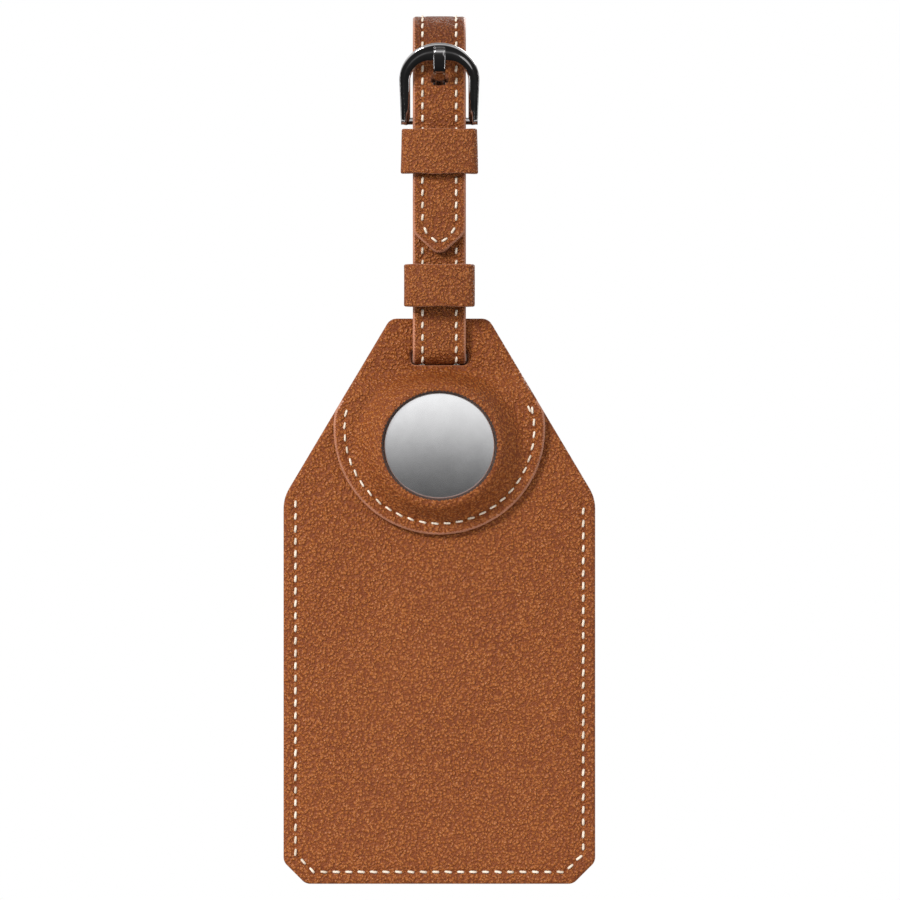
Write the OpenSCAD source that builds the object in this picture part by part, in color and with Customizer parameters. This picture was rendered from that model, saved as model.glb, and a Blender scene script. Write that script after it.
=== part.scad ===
// Leather luggage tag on a buckled strap.
// The front faces -Y. The origin is the inside top of the strap loop, where a bag handle bears.

/* [Strap] */
// Width of the strap
strap_w = 12; // [10:0.5:12.5]
// Thickness of one of the strap's two leather plies
ply_t = 1.0; // [0.8:0.1:1.0]
// Inside radius of the loop's top
loop_r = 8.2; // [8:0.1:8.4]
// Height of the tail's pointed tip
tail_tip_z = -51.7; // [-53:0.1:-50]
// Height of the upper keeper's top edge
upper_keeper_z = -23.7; // [-23.9:0.1:-23.6]
// Height of the lower keeper's top edge
lower_keeper_z = -54.3; // [-55:0.1:-54]
// Pitch of all the stitching
stitch_pitch = 2.8; // [2.5:0.05:4]

/* [Buckle] */
// Outer radius of the horseshoe frame
buckle_r = 9.05; // [9:0.05:9.3]
// Forward tilt of the frame, which lets the tail pass behind it
buckle_tilt = 24.5; // [24.5:0.1:25]
// Radius of the buckle bar
bar_r = 0.8; // [0.7:0.05:0.8]

/* [Tag] */
// Width of the tag
tag_w = 70.4; // [68:0.2:72]
// Height of the tag's top edge
tag_top_z = -66.5; // [-66.6:0.1:-66.4]
// Height of the shoulders
shoulder_z = -107; // [-109:0.5:-105]
// Height of the tag's bottom edge
tag_bottom_z = -194.2; // [-198:0.1:-194]
// Width of the top edge between the diagonals
top_w = 22.2; // [21:0.2:24]

/* [Flap and tracker] */
// Radius of the flap's round end
flap_r = 23.9; // [23.5:0.1:24.3]
// Height of the centre of the flap's round end
flap_z = -91.4; // [-91.6:0.1:-91.2]
// Radius of the coin tracker
tracker_r = 15.5; // [15:0.1:15.5]
// Height of the tracker's centre
tracker_z = -95.2; // [-95.4:0.1:-95.1]
// Radius of the round window in the flap
window_r = 12.3; // [11.5:0.1:12.5]

/* [Hidden] */

leather = "#A65B32";
lining = "#8A4A2A";
thread = "#EADFCB";
steel = "#B9BBBD";
dark_steel = "#3A3A3C";
smooth = 96;

// Depths, from front to back
strap_t = 2 * ply_t;
tail_y = -(loop_r + strap_t);
leg_y = -8;
panel_t = 1.2;
top_y = -5.9;
lining_y = top_y + panel_t;
stiff_y = lining_y + 0.3;
back_y = stiff_y + 0.6;
front_y = -7;
front_t = 1.0;
flap_y = -8.8;
flap_lining_y = flap_y + panel_t;
flap_lining_t = 0.4;

// Strap
swing_z = -65.4;
swing_gap = 2.6;
yoke_z = -73.25;
yoke_y = leg_y / 2 + (back_y + panel_t + 0.1 + strap_t) / 2;
yoke_r = yoke_y - leg_y;
loop_z = -loop_r;
bar_y = -6.4;
bar_z = -21.9;
fold_r = 1.6;
fold_end_z = -33.6;
stitch_l = 1.8;
stitch_w = 0.6;
stitch_h = 0.3;
strap_stitch_x = strap_w / 2 - 2.2;
tail_shoulder = 4.6;
tail_rounding = 0.85;

// Tag
slot_half = 6.5;
slot_side_gap = 0.02;
slot_top_z = -73.5;
slot_bottom_z = -77.1;
slot_cut = 1;
fold_z = -78.2;
mouth_z = -84.5;
chamfer = 5;
shoulder_r = 9;
seam_inset = 2.7;
card_w = 54;
card_h = 85.6;
card_t = 0.76;
card_z = -190.2;

// ---- helpers ----

function unit(v) = v / norm(v);

// Arc of radius r that rounds corner b between its neighbours a and c
function corner_arc(a, b, c, r, n) =
  let (u = unit(a - b), w = unit(c - b))
  let (half = acos(u * w) / 2)
  let (centre = b + unit(u + w) * r / sin(half))
  let (from = b + u * r / tan(half) - centre, to = b + w * r / tan(half) - centre)
  let (start = atan2(from.y, from.x), raw = atan2(to.y, to.x) - start)
  let (turn = raw > 180 ? raw - 360 : raw < -180 ? raw + 360 : raw)
  [for (i = [0:n]) centre + r * [cos(start + turn * i / n), sin(start + turn * i / n)]];

// Outline with each corner rounded by its own radius
function rounded(p, radii, n = 5) =
  [for (i = [0:len(p) - 1])
    each corner_arc(p[(i + len(p) - 1) % len(p)], p[i], p[(i + 1) % len(p)], radii[i], n)];

// Sideways offset of a path of points, by d to its right
function path_normal(p, i) =
  let (t = unit(p[min(i + 1, len(p) - 1)] - p[max(i - 1, 0)]))
  [t.y, -t.x];
function shifted(p, d) = [for (i = [0:len(p) - 1]) p[i] + d * path_normal(p, i)];
function reversed(p) = [for (i = [len(p) - 1:-1:0]) p[i]];

function bezier(a, b, c, d, t) =
  a * pow(1 - t, 3) + b * 3 * t * pow(1 - t, 2) + c * 3 * pow(t, 2) * (1 - t) + d * pow(t, 3);

// A flat sheet drawn in X and Z, with its front at y and its thickness going back
module sheet(y, t) {
  translate([0, y + t, 0]) rotate([90, 0, 0]) linear_extrude(t) children();
}

// A profile drawn in Y and Z, as wide as w and centred on X
module across(w) {
  translate([-w / 2, 0, 0]) rotate([90, 0, 90]) linear_extrude(w) children();
}

// A profile of radius and depth, turned about an axis along Y at height z
module turned(z, y) {
  translate([0, y, z]) rotate([90, 0, 0]) rotate_extrude($fn = smooth) children();
}

module disc(z, y, t, r) {
  translate([0, y + t, z]) rotate([90, 0, 0]) cylinder(h = t, r = r, $fn = smooth);
}

// Ply of the strap between two offsets of its middle path
module ply(path, from, to, w) {
  across(w) polygon(concat(shifted(path, from), reversed(shifted(path, to))));
}

// ---- strap ----

back_leg_y = yoke_y + yoke_r - ply_t;
upper_end_z = swing_z + swing_gap / 2;
yoke_end_z = swing_z - swing_gap / 2;

// Middle of the strap from the tail over the loop's top and down the back leg
arc_n = 24;
leg_n = 20;
loop_mid_r = loop_r + ply_t;
loop_path = concat(
  [[-loop_mid_r, tail_tip_z - 1]],
  [for (i = [0:arc_n]) [-loop_mid_r * cos(180 * i / arc_n), loop_z + loop_mid_r * sin(180 * i / arc_n)]],
  [for (i = [1:leg_n])
    bezier([loop_mid_r, loop_z], [loop_mid_r, -30], [back_leg_y, -42], [back_leg_y, upper_end_z], i / leg_n)]
);

// Middle of the strap where it passes through the tag's slot
yoke_n = 16;
yoke_path = concat(
  [[yoke_y + yoke_r - ply_t, yoke_end_z]],
  [for (i = [0:yoke_n])
    [yoke_y + (yoke_r - ply_t) * cos(180 * i / yoke_n), yoke_z - (yoke_r - ply_t) * sin(180 * i / yoke_n)]],
  [[yoke_y - yoke_r + ply_t, yoke_end_z]]
);

// Strap outline seen from the front, which gives the tail its rounded point
module tail_outline() {
  half = strap_w / 2;
  shoulder = tail_tip_z + tail_shoulder;
  above = strap_w;
  polygon(rounded(
    [[-half, above], [-half, shoulder], [0, tail_tip_z - tail_rounding], [half, shoulder], [half, above]],
    [0.1, 3.5, 2.4, 3.5, 0.1]
  ));
}

// Slanted hole that the prong leans through, with room below for the prong to rock
module prong_hole() {
  back = tail_y + strap_t + 0.2;
  front = tail_y - 0.2;
  across(3.5) polygon([[back, -16], [back, -12], [front, -10.9], [front, -13.4]]);
}

// The back leg reaches lower than the tail, so it is cut apart from the tail's outline
module loop_plies(from, to) {
  difference() {
    ply(loop_path, from, to, strap_w);
    difference() {
      translate([-strap_w, tail_y - 1, tail_tip_z - 3]) cube([2 * strap_w, strap_t + 2, 12]);
      sheet(tail_y - 2, strap_t + 4) tail_outline();
    }
    prong_hole();
  }
}

module loop_face() {
  color(leather) loop_plies(0, -ply_t);
}

module loop_backing() {
  color(lining) loop_plies(ply_t, 0);
}

// Front leg's face, folded over the buckle bar with its end turned down behind
module strap_face() {
  color(leather) difference() {
    union() {
      translate([-strap_w / 2, leg_y, upper_end_z]) cube([strap_w, ply_t, bar_z - upper_end_z]);
      translate([-strap_w / 2, bar_y, bar_z]) rotate([0, 90, 0]) cylinder(h = strap_w, r = fold_r, $fn = smooth);
      translate([-strap_w / 2, leg_y + strap_t + 0.1, fold_end_z])
        cube([strap_w, bar_y + fold_r - leg_y - strap_t - 0.1, bar_z - fold_end_z]);
    }
    translate([-strap_w, bar_y, bar_z]) rotate([0, 90, 0]) cylinder(h = 2 * strap_w, r = bar_r + 0.05, $fn = smooth);
    translate([-2, leg_y - 1, -27]) cube([4, 6, 8]);
  }
}

module strap_backing() {
  color(lining) translate([-strap_w / 2, leg_y + ply_t, upper_end_z])
    cube([strap_w, ply_t, -24.5 - upper_end_z]);
}

module yoke_face() {
  color(leather) ply(yoke_path, 0, -ply_t, strap_w);
}

module yoke_backing() {
  color(lining) ply(yoke_path, ply_t, 0, strap_w);
}

// One stitch lying on a front face at depth y, with its length along the given angle
module stitch(x, z, y, angle) {
  translate([x, y - stitch_h, z]) rotate([0, -angle, 0])
    translate([-stitch_l / 2, 0, -stitch_w / 2]) cube([stitch_l, stitch_h, stitch_w]);
}

// Row of stitches from one point to another
module stitch_row(a, b, y) {
  span = norm(b - a);
  count = max(1, floor(span / stitch_pitch));
  step = (b - a) / count;
  angle = atan2(step.y, step.x);
  for (i = [0:count - 1]) stitch(a.x + step.x * (i + 0.5), a.y + step.y * (i + 0.5), y, angle);
}

module strap_stitching() {
  color(thread) for (x = [-strap_stitch_x, strap_stitch_x])
    stitch_row([x, upper_end_z], [x, tail_tip_z - 1], leg_y);
}

// The rows run down both sides and meet in a V at the tip, two stitches to each side of it
module tail_stitching() {
  bend = [strap_stitch_x, tail_tip_z + 6.3];
  middle = [2.5, tail_tip_z + 3.9];
  low = [0.1, tail_tip_z + 2.1];
  color(thread) for (side = [-1, 1]) {
    stitch_row([side * bend.x, bend.y], [side * strap_stitch_x, loop_z], tail_y);
    stitch_row([side * bend.x, bend.y], [side * middle.x, middle.y], tail_y);
    stitch_row([side * middle.x, middle.y], [side * low.x, low.y], tail_y);
  }
}

module yoke_stitching() {
  color(thread) for (x = [-strap_stitch_x, strap_stitch_x])
    stitch_row([x, yoke_z], [x, yoke_end_z], leg_y);
}

// Rounded rectangle in X and Y, as squares and corner circles
module rounded_plan(w, d, r) {
  square([w - 2 * r, d], center = true);
  square([w, d - 2 * r], center = true);
  for (x = [-1, 1], y = [-1, 1]) translate([x * (w / 2 - r), y * (d / 2 - r)]) circle(r = r, $fn = 32);
}

// Leather band round the strap, between two depths inside and with a wall outside them
module keeper(top_z, height, inner_w, front, back, wall) {
  depth = back - front;
  translate([0, (front + back) / 2, top_z - height]) linear_extrude(height) difference() {
    rounded_plan(inner_w + 2 * wall, depth + 2 * wall, 1.6);
    rounded_plan(inner_w, depth, 0.4);
  }
}

keeper_gap = 0.4;

module upper_keeper() {
  color(leather) keeper(upper_keeper_z, 10.1, 15.1, tail_y - keeper_gap, bar_y + fold_r, 1.2);
}

module lower_keeper() {
  color(leather) keeper(lower_keeper_z, 9.5, 13.6, tail_y - keeper_gap, leg_y + strap_t + 0.1, 1.2);
}

// ---- buckle ----

foot_half = 8.65;
foot_s = 0.1;
frame_t = 1.8;
arc_s = 10.1;
inner_half = 6.55;
inner_top = 14.6;
inner_r = 4.6;
arm_w = foot_half - inner_half;

// Horseshoe in its own plane, with the bar at the origin and the arc upwards. Its arms draw in to the feet.
module horseshoe() {
  difference() {
    union() {
      translate([0, arc_s]) circle(r = buckle_r, $fn = smooth);
      polygon([[-buckle_r, arc_s], [-foot_half, foot_s], [foot_half, foot_s], [buckle_r, arc_s]]);
      for (x = [-1, 1]) translate([x * (foot_half - arm_w / 2), foot_s]) circle(r = arm_w / 2, $fn = 48);
    }
    for (x = [-1, 1]) translate([x * (inner_half - inner_r), inner_top - inner_r]) circle(r = inner_r, $fn = smooth);
    translate([inner_r - inner_half, 0]) square([2 * (inner_half - inner_r), inner_top]);
    translate([-inner_half, -2 * arm_w]) square([2 * inner_half, inner_top - inner_r + 2 * arm_w]);
  }
}

module buckle_frame() {
  color(dark_steel) translate([0, bar_y, bar_z]) rotate([buckle_tilt, 0, 0]) difference() {
    translate([0, frame_t / 2, 0]) rotate([90, 0, 0]) linear_extrude(frame_t) horseshoe();
    translate([-2 * buckle_r, 0, 0]) rotate([0, 90, 0]) cylinder(h = 4 * buckle_r, r = bar_r, $fn = smooth);
  }
}

module buckle_bar() {
  color(dark_steel) translate([-foot_half, bar_y, bar_z]) rotate([0, 90, 0])
    cylinder(h = 2 * foot_half, r = bar_r, $fn = smooth);
}

prong_t = 1.3;
prong_w = 2.9;
prong_path = [[-6.9, -20.6], [-6.9, -15.6], [-8.1, -13.4], [-14.2, -9.4], [-15.6, -6]];

module buckle_prong() {
  color(dark_steel) difference() {
    union() {
      ply(prong_path, -prong_t / 2, prong_t / 2, prong_w);
      translate([-prong_w / 2, bar_y, bar_z]) rotate([0, 90, 0]) cylinder(h = prong_w, r = 1.55, $fn = smooth);
    }
    translate([-prong_w, bar_y, bar_z]) rotate([0, 90, 0]) cylinder(h = 2 * prong_w, r = bar_r + 0.05, $fn = smooth);
  }
}

// ---- tag ----

half_w = tag_w / 2;
edge_slope = (half_w - top_w / 2) / (tag_top_z - shoulder_z);

// Half width of the tag's diagonals at height z
function diagonal_x(z) = top_w / 2 + (tag_top_z - z) * edge_slope;

module tag_outline() {
  polygon(rounded(
    [[top_w / 2, tag_top_z], [half_w, shoulder_z], [half_w, tag_bottom_z + chamfer],
     [half_w - chamfer, tag_bottom_z], [chamfer - half_w, tag_bottom_z], [-half_w, tag_bottom_z + chamfer],
     [-half_w, shoulder_z], [-top_w / 2, tag_top_z]],
    [2.6, shoulder_r, 2.5, 2.5, 2.5, 2.5, shoulder_r, 2.6]
  ));
}

// Slot for the strap, with its lower corners cut off
module slot_outline(x) {
  polygon([[-x, slot_top_z], [-x, slot_bottom_z + slot_cut], [slot_cut - x, slot_bottom_z],
           [x - slot_cut, slot_bottom_z], [x, slot_bottom_z + slot_cut], [x, slot_top_z]]);
}

// Everything below height z
module below(z) {
  translate([-tag_w, z - 200]) square([2 * tag_w, 200]);
}

// The layers behind fit the strap closely, so nothing shows through beside it
module back_sheet(y, t) {
  sheet(y, t) difference() {
    tag_outline();
    translate([-strap_w / 2 - slot_side_gap, yoke_z - yoke_r - slot_side_gap])
      square([strap_w + 2 * slot_side_gap, slot_top_z - yoke_z + yoke_r + slot_side_gap]);
  }
}

module back_panel() {
  color(leather) back_sheet(back_y, panel_t);
}

module stiffener() {
  color("#5A5A5A") back_sheet(stiff_y, back_y - stiff_y);
}

module back_lining() {
  color(lining) back_sheet(lining_y, stiff_y - lining_y);
}

module pocket_outline() {
  intersection() {
    tag_outline();
    below(mouth_z);
  }
}

// Space between the side and bottom seams, open at the mouth
module pocket_space() {
  wall = 3.6;
  polygon([[-half_w + wall, tag_bottom_z + wall], [half_w - wall, tag_bottom_z + wall],
           [half_w - wall, shoulder_z - 1], [half_w + 5, shoulder_z - 1], [half_w + 5, mouth_z + 5],
           [-half_w - 5, mouth_z + 5], [-half_w - 5, shoulder_z - 1], [-half_w + wall, shoulder_z - 1]]);
}

// Front of the pocket, whose sides and foot reach back to the seam
module front_panel() {
  color(leather) difference() {
    sheet(front_y, lining_y - front_y) pocket_outline();
    sheet(front_y + front_t, 4) pocket_space();
  }
}

module front_lining() {
  color(lining) sheet(front_y + front_t, 0.3) intersection() {
    pocket_outline();
    pocket_space();
  }
}

module body_stitching() {
  x = half_w - seam_inset;
  z = tag_bottom_z + seam_inset;
  cut = chamfer - 0.8;
  color(thread) {
    for (side = [-1, 1]) {
      stitch_row([side * x, shoulder_z - 1.5], [side * x, z + cut], front_y);
      stitch_row([side * x, z + cut], [side * (x - cut), z], front_y);
    }
    stitch_row([cut - x, z], [x - cut, z], front_y);
  }
}

module top_panel() {
  color(leather) sheet(top_y, panel_t) difference() {
    tag_outline();
    slot_outline(slot_half);
    below(fold_z);
  }
}

// Round-ended flap, whose sides follow the tag's diagonals
module flap_outline() {
  intersection() {
    tag_outline();
    below(fold_z - 0.4);
    union() {
      translate([0, flap_z]) circle(r = flap_r, $fn = smooth);
      translate([-tag_w, flap_z + 4.4]) square([2 * tag_w, 20]);
    }
  }
}

dome_r = tracker_r + 1.05;
dome_front = 6.1;

module flap_leather() {
  color(leather) difference() {
    union() {
      intersection() {
        sheet(flap_y, 6) flap_outline();
        across(2 * tag_w) polygon([[-5.9, -78.5], [flap_y, -82], [flap_y, -116], [flap_lining_y, -116],
                                   [flap_lining_y, -82.4], [-5.2, -79.2]]);
      }
      turned(tracker_z, flap_y + panel_t) polygon([[0, 0], [dome_r, 0], [dome_r, 3], [dome_r - 0.6, 4.8],
                                                   [dome_r - 1.9, dome_front], [window_r, dome_front + 1],
                                                   [0, dome_front + 1]]);
    }
    turned(tracker_z, flap_y + panel_t) polygon([[0, -2], [tracker_r + 0.05, -2], [tracker_r + 0.05, 2.8],
                                                 [tracker_r - 0.8, 4.6], [tracker_r - 2, 5.5],
                                                 [window_r, 6.2], [window_r, 9], [0, 9]]);
  }
}

module flap_lining() {
  color(lining) sheet(flap_lining_y, flap_lining_t) intersection() {
    flap_outline();
    below(-82.6);
  }
}

// Row inside the round end. A second stitch beside the last one ends it on the right.
module flap_stitching() {
  r = flap_r - 2.5;
  first = -189;
  turn = 200;
  count = round(r * turn * PI / 180 / stitch_pitch);
  last = first + turn;
  color(thread) {
    for (i = [0:count]) {
      a = first + turn * i / count;
      stitch(r * cos(a), flap_z + r * sin(a), flap_y, a + 90);
    }
    stitch(r * cos(last) - 0.7, flap_z + r * sin(last) + 0.3, flap_y, last + 105);
  }
}

// ---- tracker ----

module tracker_case() {
  color("#F1F1EE") turned(tracker_z, flap_lining_y - 0.02) difference() {
    polygon([[0, 0], [13, 0], [15, 0.8], [tracker_r - 0.05, 2.6], [15, 3.8], [13.6, 4.9], [12.95, 5.2], [0, 5.2]]);
    translate([-1, 1.1]) square([12.3, 6]);
    translate([-1, 4.3]) square([13.7, 6]);
  }
}

module tracker_board() {
  color("#2F6B3C") disc(tracker_z, flap_lining_y - 0.02 - 1.1 - 0.5, 0.5, 11);
}

module tracker_battery() {
  color(steel) disc(tracker_z, flap_lining_y - 0.02 - 1.62 - 3.2, 3.2, 10);
}

module tracker_cover() {
  color(steel) turned(tracker_z, flap_lining_y - 0.02) polygon([
    [0, 5.6], [10.9, 5.0], [10.9, 4.5], [12.6, 4.5], [12.6, 5.5], [12.15, 5.8], [8, 6.35], [4, 6.6], [0, 6.7]
  ]);
}

module address_card() {
  color("#F4F1E8") sheet(lining_y - 0.12 - card_t, card_t) polygon(rounded(
    [[card_w / 2, card_z + card_h], [card_w / 2, card_z], [-card_w / 2, card_z], [-card_w / 2, card_z + card_h]],
    [3, 3, 3, 3]
  ));
}

strap_face();
strap_backing();
loop_face();
loop_backing();
strap_stitching();
tail_stitching();
upper_keeper();
lower_keeper();
buckle_frame();
buckle_bar();
buckle_prong();
yoke_face();
yoke_backing();
yoke_stitching();
back_panel();
stiffener();
back_lining();
front_panel();
front_lining();
body_stitching();
top_panel();
flap_leather();
flap_lining();
flap_stitching();
tracker_case();
tracker_board();
tracker_battery();
tracker_cover();
address_card();
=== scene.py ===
"""Leather luggage tag on a buckled strap, with a card pocket and a flap that holds a coin tracker."""

import math

import bmesh
import bpy
import numpy as np
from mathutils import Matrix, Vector
from mathutils.geometry import delaunay_2d_cdt

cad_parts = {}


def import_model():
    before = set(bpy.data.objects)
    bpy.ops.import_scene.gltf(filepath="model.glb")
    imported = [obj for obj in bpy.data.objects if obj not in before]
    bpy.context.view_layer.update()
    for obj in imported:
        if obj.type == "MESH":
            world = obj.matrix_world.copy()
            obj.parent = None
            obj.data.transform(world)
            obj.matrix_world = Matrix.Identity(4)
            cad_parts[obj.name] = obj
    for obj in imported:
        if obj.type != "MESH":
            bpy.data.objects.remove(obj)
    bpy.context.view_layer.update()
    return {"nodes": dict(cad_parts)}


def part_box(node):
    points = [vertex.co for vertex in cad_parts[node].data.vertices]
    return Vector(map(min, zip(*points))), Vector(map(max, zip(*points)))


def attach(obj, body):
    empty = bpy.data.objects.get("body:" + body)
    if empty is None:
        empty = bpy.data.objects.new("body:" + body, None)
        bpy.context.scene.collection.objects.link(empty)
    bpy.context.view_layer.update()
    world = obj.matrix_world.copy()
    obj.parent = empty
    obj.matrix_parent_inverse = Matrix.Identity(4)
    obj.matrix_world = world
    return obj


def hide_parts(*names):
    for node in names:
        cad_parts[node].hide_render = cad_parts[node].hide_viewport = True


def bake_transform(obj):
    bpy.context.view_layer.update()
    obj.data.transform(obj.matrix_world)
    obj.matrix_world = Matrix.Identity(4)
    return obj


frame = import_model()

MM = 0.001


def lowest(node):
    """Lowest corner of a CAD node, in millimetres."""
    return np.array(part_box(node)[0]) / MM


def highest(node):
    """Highest corner of a CAD node, in millimetres."""
    return np.array(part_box(node)[1]) / MM


# ---- sizes, in millimetres, most of them read from the frame ----

STRAP_HALF = highest("loop_face")[0]
LOOP_Z = -8.2
LOOP_OUT = highest("loop_face")[2] - LOOP_Z
STRAP_T = 2.0
TAIL_Y = lowest("loop_face")[1]
TAIL_TIP = lowest("tail_stitching")[2] - 2.22
LEG_Y = lowest("strap_face")[1]
YOKE_BACK = highest("yoke_face")[1]
YOKE_LOW = lowest("yoke_face")[2]
SPLIT_TOP = lowest("strap_face")[2]
SPLIT_LOW = highest("yoke_face")[2]
BAR_Y, BAR_Z = -6.4, (lowest("buckle_bar")[2] + highest("buckle_bar")[2]) / 2

HALF_W = highest("back_panel")[0]
TAG_TOP = highest("back_panel")[2]
TAG_LOW = lowest("back_panel")[2]
SHOULDER = -107.0
TOP_HALF = 11.1
CHAMFER = 5.0
MOUTH = highest("front_panel")[2]
TOP_Y = lowest("top_panel")[1]
FRONT_Y = lowest("front_panel")[1]
BACK_FRONT = lowest("back_panel")[1]
BACK_Y = highest("back_panel")[1]
SEAM_Y = highest("front_panel")[1]
FLAP_Y = -8.8
FLAP_BACK = lowest("flap_lining")[1]
SLOT_HALF, SLOT_TOP, SLOT_LOW = 6.5, -73.5, -77.0
BACK_SLOT_HALF = STRAP_HALF + 0.02
FLAP_R, FLAP_Z = 23.9, -91.4
TRACKER_Z = (lowest("tracker_cover")[2] + highest("tracker_cover")[2]) / 2
WINDOW_HALF, WINDOW_HALF_HEIGHT = 12.6, 11.9
SEAM_INSET = 2.7
FLAP_SEAM = 2.5
PITCH = 2.8
STITCH_ROW = STRAP_HALF - 2.2
PRONG_HOLE_Z = -12.3


# ---- outlines ----


def rounded(points, radii, arc=7, gap=0.8):
    """Corner points of a convex outline, each rounded, with points about gap apart along its sides."""
    pts = [np.array(p, float) for p in points]
    loop = []
    for i, b in enumerate(pts):
        a, c, r = pts[i - 1], pts[(i + 1) % len(pts)], radii[i]
        u, w = (a - b) / np.linalg.norm(a - b), (c - b) / np.linalg.norm(c - b)
        half = math.acos(float(u @ w)) / 2
        centre = b + (u + w) / np.linalg.norm(u + w) * r / math.sin(half)
        p, q = b + u * r / math.tan(half) - centre, b + w * r / math.tan(half) - centre
        start = math.atan2(p[1], p[0])
        turn = (math.atan2(q[1], q[0]) - start + math.pi) % (2 * math.pi) - math.pi
        loop += [centre + r * np.array([math.cos(start + turn * k / arc), math.sin(start + turn * k / arc)])
                 for k in range(arc + 1)]
    return resampled(loop, gap)


def resampled(loop, gap, closed=True):
    """The same line with points added so that none are further apart than gap."""
    out = []
    last = len(loop) if closed else len(loop) - 1
    for i in range(last):
        a, b = loop[i], loop[(i + 1) % len(loop)]
        n = max(1, math.ceil(np.linalg.norm(b - a) / gap))
        out += [a + (b - a) * k / n for k in range(n)]
    return np.array(out if closed else out + [loop[-1]])


def area(loop):
    """Signed area of an outline, positive where it runs anticlockwise."""
    x, y = loop[:, 0], loop[:, 1]
    return 0.5 * float(np.sum(x * np.roll(y, -1) - np.roll(x, -1) * y))


def inset(loop, d):
    """The outline moved inwards by d, or outwards where d is negative."""
    tangent = np.roll(loop, -1, axis=0) - np.roll(loop, 1, axis=0)
    tangent /= np.linalg.norm(tangent, axis=1)[:, None]
    normal = np.stack([-tangent[:, 1], tangent[:, 0]], axis=1) * np.sign(area(loop))
    return loop + normal * d


def inside(loop, pts):
    """Which of the points lie within the outline."""
    x, y = pts[:, 0][:, None], pts[:, 1][:, None]
    x0, y0 = loop[:, 0][None], loop[:, 1][None]
    x1, y1 = np.roll(loop[:, 0], -1)[None], np.roll(loop[:, 1], -1)[None]
    rising = (y0 > y) != (y1 > y)
    with np.errstate(divide="ignore", invalid="ignore"):
        cross = x < (x1 - x0) * (y - y0) / (y1 - y0) + x0
    return (np.sum(rising & cross, axis=1) % 2) == 1


def distance(line, pts, closed=True):
    """Distance of each point from a line."""
    a = line if closed else line[:-1]
    b = np.roll(line, -1, axis=0) if closed else line[1:]
    best = np.full(len(pts), 1e9)
    ab = b - a
    length = np.maximum(np.sum(ab * ab, axis=1), 1e-12)
    for lo in range(0, len(pts), 2000):
        p = pts[lo : lo + 2000]
        t = np.clip(np.sum((p[:, None] - a[None]) * ab[None], axis=2) / length[None], 0, 1)
        near = a[None] + t[:, :, None] * ab[None]
        best[lo : lo + 2000] = np.sqrt(np.min(np.sum((p[:, None] - near) ** 2, axis=2), axis=1))
    return best


def smooth(a, b, x):
    """0 up to a, 1 from b, and a smooth rise between them."""
    t = np.clip((x - a) / (b - a), 0, 1)
    return t * t * (3 - 2 * t)


def along(line, pitch, start=0.5):
    """(point, tangent) at every pitch along a line, beginning start pitches in."""
    line = np.array(line, float)
    steps = np.linalg.norm(np.diff(line, axis=0), axis=1)
    total = np.concatenate([[0], np.cumsum(steps)])
    count = max(1, round(total[-1] / pitch))
    real = total[-1] / count
    out = []
    for k in range(count):
        s = (k + start) * real
        i = min(int(np.searchsorted(total, s, side="right")) - 1, len(steps) - 1)
        t = (line[i + 1] - line[i]) / max(steps[i], 1e-9)
        out.append((line[i] + t * (s - total[i]), t))
    return out


# ---- meshes ----


def piece(name, verts, faces, materials, which=None, sharp=True):
    """A mesh object from points in millimetres, with a material for each face."""
    mesh = bpy.data.meshes.new(name)
    mesh.from_pydata([tuple(v) for v in np.asarray(verts) * MM], [], faces)
    for m in materials:
        mesh.materials.append(m)
    if which is not None:
        mesh.polygons.foreach_set("material_index", np.asarray(which, dtype=np.int32))
    mesh.polygons.foreach_set("use_smooth", [True] * len(mesh.polygons))
    mesh.validate()
    mesh.update()
    if sharp:
        mesh.set_sharp_from_angle(angle=math.radians(50))
    obj = bpy.data.objects.new(name, mesh)
    bpy.context.scene.collection.objects.link(obj)
    return obj


# The last material index is a near-black rim of painted shadow round a hole.
FRONT, CUT_EDGE, BACK, BURNISHED, SHADOW_RIM = range(5)
EDGE_ROWS = (0, 0.14, 0.32, 0.6)
DETAIL_CLEAR = 0.75
GRID_CLEAR = 0.45


def clear_of(pts, outline, holes, gap):
    """Which points lie on the sheet and further than gap from its outline and holes."""
    ok = inside(outline, pts) & (distance(outline, pts) > gap)
    for hole in holes:
        ok &= ~inside(hole, pts) & (distance(hole, pts) > gap)
    return ok


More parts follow.
